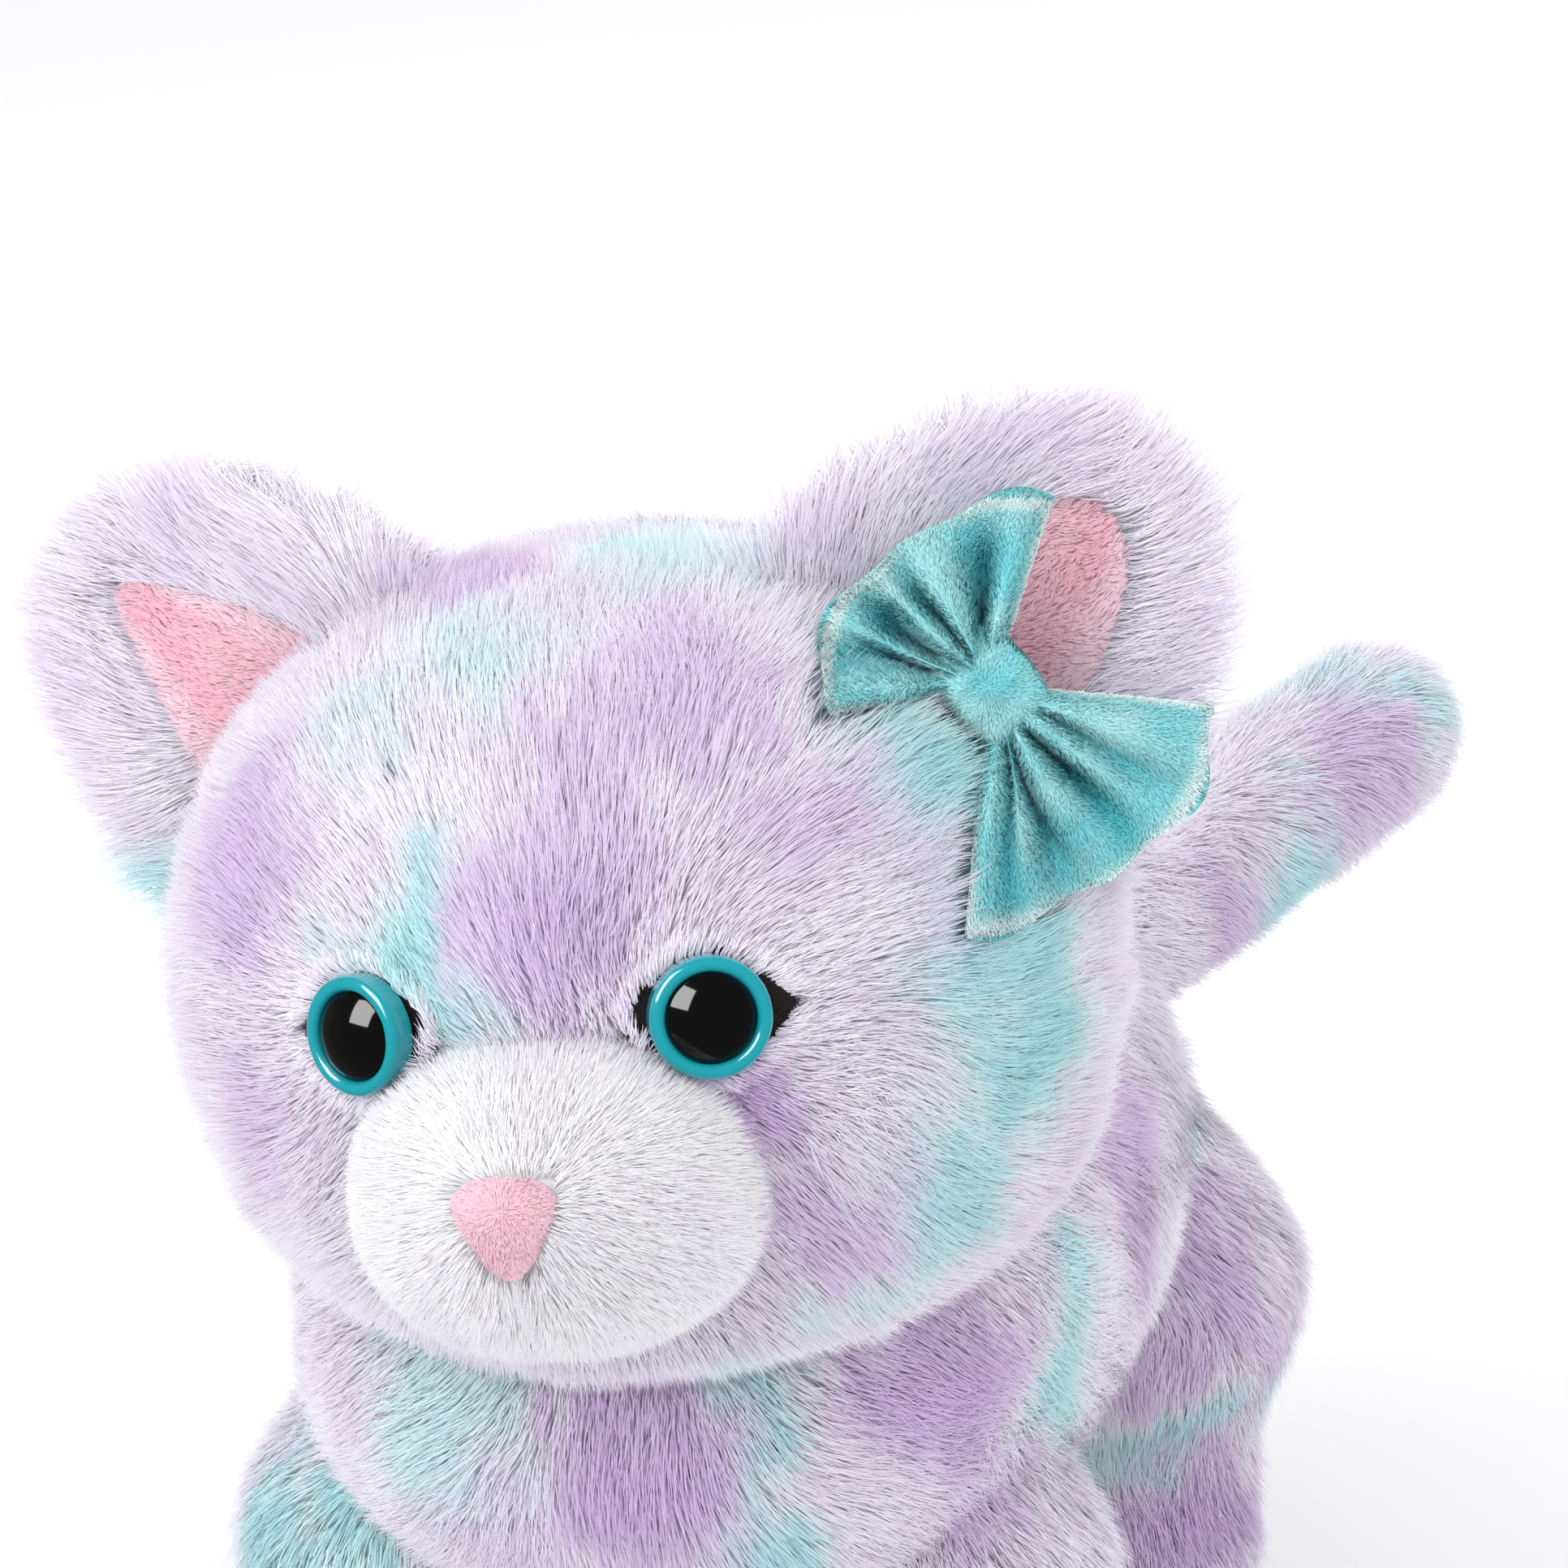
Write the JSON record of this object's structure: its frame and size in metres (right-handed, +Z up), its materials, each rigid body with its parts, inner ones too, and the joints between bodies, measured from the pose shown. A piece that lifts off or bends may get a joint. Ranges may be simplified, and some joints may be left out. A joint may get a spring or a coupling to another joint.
{
  "type": "interactive plush pet",
  "caption": "Standing tie-dye plush kitten with glossy eyes and a velvet bow, whose head turns and tail wags on a geared battery drive.",
  "frame": {"origin": "middle of the part's box at floor level", "axes": "+Z up, the kitten faces -Y, its left side is +X"},
  "size_m": [0.1891, 0.3508, 0.2688],
  "materials": {
    "tie_dye_fur": "long pile plush in lilac, lavender and aqua",
    "white_plush": "short pile plush",
    "pink_plush": "short pile plush",
    "dark_felt": "felt",
    "teal_plastic": "glossy, pearly",
    "black_gloss": "glossy",
    "turquoise_velvet": "velvet",
    "white_plastic": "moulded",
    "grey_plastic": "moulded",
    "black_plastic": "moulded",
    "plain_steel": "plated",
    "cell_metal": "plain sleeve",
    "green_board": "solder mask"
  },
  "bodies": {
    "torso": {"body_plush": "tie_dye_fur", "foreleg_left": "tie_dye_fur", "foreleg_right": "tie_dye_fur", "hindleg_left": "tie_dye_fur", "hindleg_right": "tie_dye_fur", "strut_fore_left": "grey_plastic", "strut_fore_right": "grey_plastic", "strut_hind_left": "grey_plastic", "strut_hind_right": "grey_plastic", "tail_pin": "plain_steel", "tail_motor": "plain_steel", "head_motor": "plain_steel", "chassis_lower": "grey_plastic", "chassis_upper": "grey_plastic", "chassis_screws": "plain_steel", "cells": "cell_metal", "contacts": "plain_steel", "power_switch": "black_plastic", "circuit_board": "green_board", "speaker": "black_plastic"},
    "head": {"head_plush": "tie_dye_fur", "muzzle": "white_plush", "nose": "pink_plush", "ear_left": "tie_dye_fur", "ear_right": "tie_dye_fur", "ear_lining_left": "pink_plush", "ear_lining_right": "pink_plush", "eye_felt_left": "dark_felt", "eye_felt_right": "dark_felt", "eye_ring_left": "teal_plastic", "eye_ring_right": "teal_plastic", "pupil_left": "black_gloss", "pupil_right": "black_gloss", "eye_washers": "white_plastic", "bow_loop_upper": "turquoise_velvet", "bow_loop_lower": "turquoise_velvet", "bow_knot": "turquoise_velvet", "head_core": "grey_plastic", "neck_shaft": "grey_plastic", "neck_gear": "white_plastic", "neck_clip": "plain_steel", "pat_switch": "black_plastic"},
    "head_pinion": {"head_pinion": "white_plastic"},
    "tail": {"tail_plush": "tie_dye_fur", "tail_lever": "grey_plastic"},
    "tail_pinion": {"tail_pinion": "white_plastic"},
    "pat_button": {"pat_button": "white_plastic"},
    "switch_knob": {"switch_knob": "black_plastic"},
    "battery_door": {"battery_door": "grey_plastic", "door_screw": "plain_steel"}
  },
  "joints": [
    {"name": "head_turn", "type": "hinge", "parent": "torso", "child": "head", "pos_m": [0.0042, -0.08644, 0.12], "axis": [0, 0, 1], "range_deg": [-30, 30]},
    {"name": "head_pinion_spin", "type": "hinge", "parent": "torso", "child": "head_pinion", "pos_m": [0.0042, -0.06844, 0.107], "axis": [0, 0, 1], "range_deg": [-60, 60]},
    {"name": "tail_wag", "type": "hinge", "parent": "torso", "child": "tail", "pos_m": [0.0042, 0.04556, 0.1], "axis": [0, 0, 1], "range_deg": [0, 68]},
    {"name": "tail_pinion_spin", "type": "hinge", "parent": "torso", "child": "tail_pinion", "pos_m": [0.0042, 0.02756, 0.107], "axis": [0, 0, 1], "range_deg": [-136, 0]},
    {"name": "pat_press", "type": "slide", "parent": "head", "child": "pat_button", "axis": [0, 0, -1], "range_m": [0, 0.0015], "stiffness_N_per_m": 300, "springref_m": -0.0005},
    {"name": "power_slide", "type": "slide", "parent": "torso", "child": "switch_knob", "axis": [0, 1, 0], "range_m": [0, 0.004]},
    {"name": "door_drop", "type": "slide", "parent": "torso", "child": "battery_door", "axis": [0, 0, -1], "range_m": [0, 0.025]}
  ],
  "couplings": [
    {"joint": "head_pinion_spin", "follows": "head_turn", "ratio": -2},
    {"joint": "tail_pinion_spin", "follows": "tail_wag", "ratio": -2}
  ]
}
